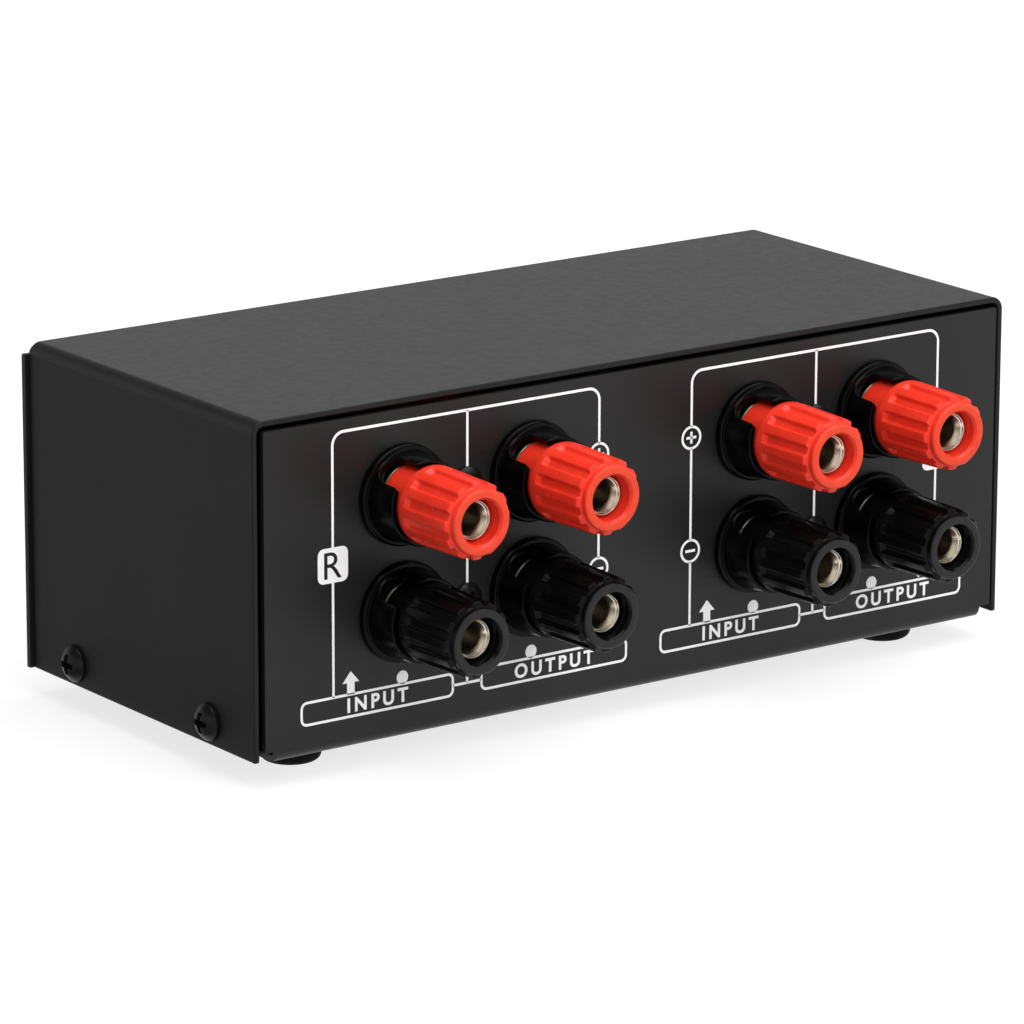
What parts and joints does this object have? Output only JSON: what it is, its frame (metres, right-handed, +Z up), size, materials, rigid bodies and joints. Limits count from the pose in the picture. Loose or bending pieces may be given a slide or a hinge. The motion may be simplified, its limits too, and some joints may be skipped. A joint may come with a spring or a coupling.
{
  "type": "speaker volume control box",
  "caption": "Stereo speaker volume control: flat black folded-steel case on rubber feet, a volume knob in front, and fluted binding posts for plugs or bare wire behind.",
  "frame": {"origin": "on the surface under the feet, at the middle of the whole part seen from above", "axes": "+Z up, +X to the right seen from the front (the knob side), +Y towards the rear panel with the posts"},
  "size_m": [0.1414, 0.0998, 0.0543],
  "materials": {
    "black_steel": "satin powder coat",
    "black_screws": "black plating",
    "black_rubber": "matt",
    "black_plastic": "moulded, semi-gloss",
    "red_plastic": "moulded, semi-gloss",
    "plated_metal": "bright nickel plate",
    "brass": "plain",
    "brown_board": "laminate",
    "dark_moulding": "moulded",
    "copper_winding": "wound wire"
  },
  "bodies": {
    "case": {"top_cover": "black_steel", "chassis": "black_steel", "cover_screws": "black_screws", "panel_screws": "black_screws", "rubber_feet": "black_rubber", "panel_nuts": "plated_metal", "post_nuts": "plated_metal", "lock_washer": "plated_metal", "bush_nut": "plated_metal", "tie_bolts": "plated_metal", "terminal_boards": "brown_board", "solder_tags": "brass", "common_straps": "brass", "pad_bush": "brass", "pad_terminals": "brass", "front_housing": "dark_moulding", "rear_housing": "dark_moulding", "pad_back_plate": "dark_moulding", "front_winding": "copper_winding", "rear_winding": "copper_winding", "red_wires": "red_plastic", "black_wires": "black_plastic", "post_base_right_in_plus": "black_plastic", "post_stud_right_in_plus": "plated_metal", "post_base_right_in_minus": "black_plastic", "post_stud_right_in_minus": "plated_metal", "post_base_right_out_plus": "black_plastic", "post_stud_right_out_plus": "plated_metal", "post_base_right_out_minus": "black_plastic", "post_stud_right_out_minus": "plated_metal", "post_base_left_in_plus": "black_plastic", "post_stud_left_in_plus": "plated_metal", "post_base_left_in_minus": "black_plastic", "post_stud_left_in_minus": "plated_metal", "post_base_left_out_plus": "black_plastic", "post_stud_left_out_plus": "plated_metal", "post_base_left_out_minus": "black_plastic", "post_stud_left_out_minus": "plated_metal"},
    "volume": {"volume_knob": "black_plastic", "knob_set_screw": "black_screws", "volume_shaft": "plated_metal", "shaft_clip": "plated_metal", "front_wiper": "brass", "rear_wiper": "brass"},
    "clamp_right_in_plus": {"clamp_washer_right_in_plus": "plated_metal"},
    "cap_right_in_plus": {"post_cap_right_in_plus": "red_plastic"},
    "clamp_right_in_minus": {"clamp_washer_right_in_minus": "plated_metal"},
    "cap_right_in_minus": {"post_cap_right_in_minus": "black_plastic"},
    "clamp_right_out_plus": {"clamp_washer_right_out_plus": "plated_metal"},
    "cap_right_out_plus": {"post_cap_right_out_plus": "red_plastic"},
    "clamp_right_out_minus": {"clamp_washer_right_out_minus": "plated_metal"},
    "cap_right_out_minus": {"post_cap_right_out_minus": "black_plastic"},
    "clamp_left_in_plus": {"clamp_washer_left_in_plus": "plated_metal"},
    "cap_left_in_plus": {"post_cap_left_in_plus": "red_plastic"},
    "clamp_left_in_minus": {"clamp_washer_left_in_minus": "plated_metal"},
    "cap_left_in_minus": {"post_cap_left_in_minus": "black_plastic"},
    "clamp_left_out_plus": {"clamp_washer_left_out_plus": "plated_metal"},
    "cap_left_out_plus": {"post_cap_left_out_plus": "red_plastic"},
    "clamp_left_out_minus": {"clamp_washer_left_out_minus": "plated_metal"},
    "cap_left_out_minus": {"post_cap_left_out_minus": "black_plastic"}
  },
  "joints": [
    {"name": "volume_turn", "type": "hinge", "parent": "case", "child": "volume", "pos_m": [0, -0.03025, 0.0293], "axis": [0, 1, 0], "range_deg": [-150, 150]},
    {"name": "clamp_slide_right_in_plus", "type": "slide", "parent": "case", "child": "clamp_right_in_plus", "axis": [0, 1, 0], "range_m": [-0.0005, 0.003]},
    {"name": "cap_turn_right_in_plus", "type": "hinge", "parent": "clamp_right_in_plus", "child": "cap_right_in_plus", "pos_m": [0.0435, 0.03025, 0.0403], "axis": [0, 1, 0], "range_deg": [-180, 1080]},
    {"name": "clamp_slide_right_in_minus", "type": "slide", "parent": "case", "child": "clamp_right_in_minus", "axis": [0, 1, 0], "range_m": [-0.0005, 0.003]},
    {"name": "cap_turn_right_in_minus", "type": "hinge", "parent": "clamp_right_in_minus", "child": "cap_right_in_minus", "pos_m": [0.0435, 0.03025, 0.0229], "axis": [0, 1, 0], "range_deg": [-180, 1080]},
    {"name": "clamp_slide_right_out_plus", "type": "slide", "parent": "case", "child": "clamp_right_out_plus", "axis": [0, 1, 0], "range_m": [-0.0005, 0.003]},
    {"name": "cap_turn_right_out_plus", "type": "hinge", "parent": "clamp_right_out_plus", "child": "cap_right_out_plus", "pos_m": [0.0206, 0.03025, 0.0403], "axis": [0, 1, 0], "range_deg": [-180, 1080]},
    {"name": "clamp_slide_right_out_minus", "type": "slide", "parent": "case", "child": "clamp_right_out_minus", "axis": [0, 1, 0], "range_m": [-0.0005, 0.003]},
    {"name": "cap_turn_right_out_minus", "type": "hinge", "parent": "clamp_right_out_minus", "child": "cap_right_out_minus", "pos_m": [0.0206, 0.03025, 0.0229], "axis": [0, 1, 0], "range_deg": [-180, 1080]},
    {"name": "clamp_slide_left_in_plus", "type": "slide", "parent": "case", "child": "clamp_left_in_plus", "axis": [0, 1, 0], "range_m": [-0.0005, 0.003]},
    {"name": "cap_turn_left_in_plus", "type": "hinge", "parent": "clamp_left_in_plus", "child": "cap_left_in_plus", "pos_m": [-0.0206, 0.03025, 0.0403], "axis": [0, 1, 0], "range_deg": [-180, 1080]},
    {"name": "clamp_slide_left_in_minus", "type": "slide", "parent": "case", "child": "clamp_left_in_minus", "axis": [0, 1, 0], "range_m": [-0.0005, 0.003]},
    {"name": "cap_turn_left_in_minus", "type": "hinge", "parent": "clamp_left_in_minus", "child": "cap_left_in_minus", "pos_m": [-0.0206, 0.03025, 0.0229], "axis": [0, 1, 0], "range_deg": [-180, 1080]},
    {"name": "clamp_slide_left_out_plus", "type": "slide", "parent": "case", "child": "clamp_left_out_plus", "axis": [0, 1, 0], "range_m": [-0.0005, 0.003]},
    {"name": "cap_turn_left_out_plus", "type": "hinge", "parent": "clamp_left_out_plus", "child": "cap_left_out_plus", "pos_m": [-0.0435, 0.03025, 0.0403], "axis": [0, 1, 0], "range_deg": [-180, 1080]},
    {"name": "clamp_slide_left_out_minus", "type": "slide", "parent": "case", "child": "clamp_left_out_minus", "axis": [0, 1, 0], "range_m": [-0.0005, 0.003]},
    {"name": "cap_turn_left_out_minus", "type": "hinge", "parent": "clamp_left_out_minus", "child": "cap_left_out_minus", "pos_m": [-0.0435, 0.03025, 0.0229], "axis": [0, 1, 0], "range_deg": [-180, 1080]}
  ],
  "couplings": [
    {"joint": "cap_turn_right_in_plus", "follows": "clamp_slide_right_in_plus", "rad_per_m": 6283.2},
    {"joint": "cap_turn_right_in_minus", "follows": "clamp_slide_right_in_minus", "rad_per_m": 6283.2},
    {"joint": "cap_turn_right_out_plus", "follows": "clamp_slide_right_out_plus", "rad_per_m": 6283.2},
    {"joint": "cap_turn_right_out_minus", "follows": "clamp_slide_right_out_minus", "rad_per_m": 6283.2},
    {"joint": "cap_turn_left_in_plus", "follows": "clamp_slide_left_in_plus", "rad_per_m": 6283.2},
    {"joint": "cap_turn_left_in_minus", "follows": "clamp_slide_left_in_minus", "rad_per_m": 6283.2},
    {"joint": "cap_turn_left_out_plus", "follows": "clamp_slide_left_out_plus", "rad_per_m": 6283.2},
    {"joint": "cap_turn_left_out_minus", "follows": "clamp_slide_left_out_minus", "rad_per_m": 6283.2}
  ]
}
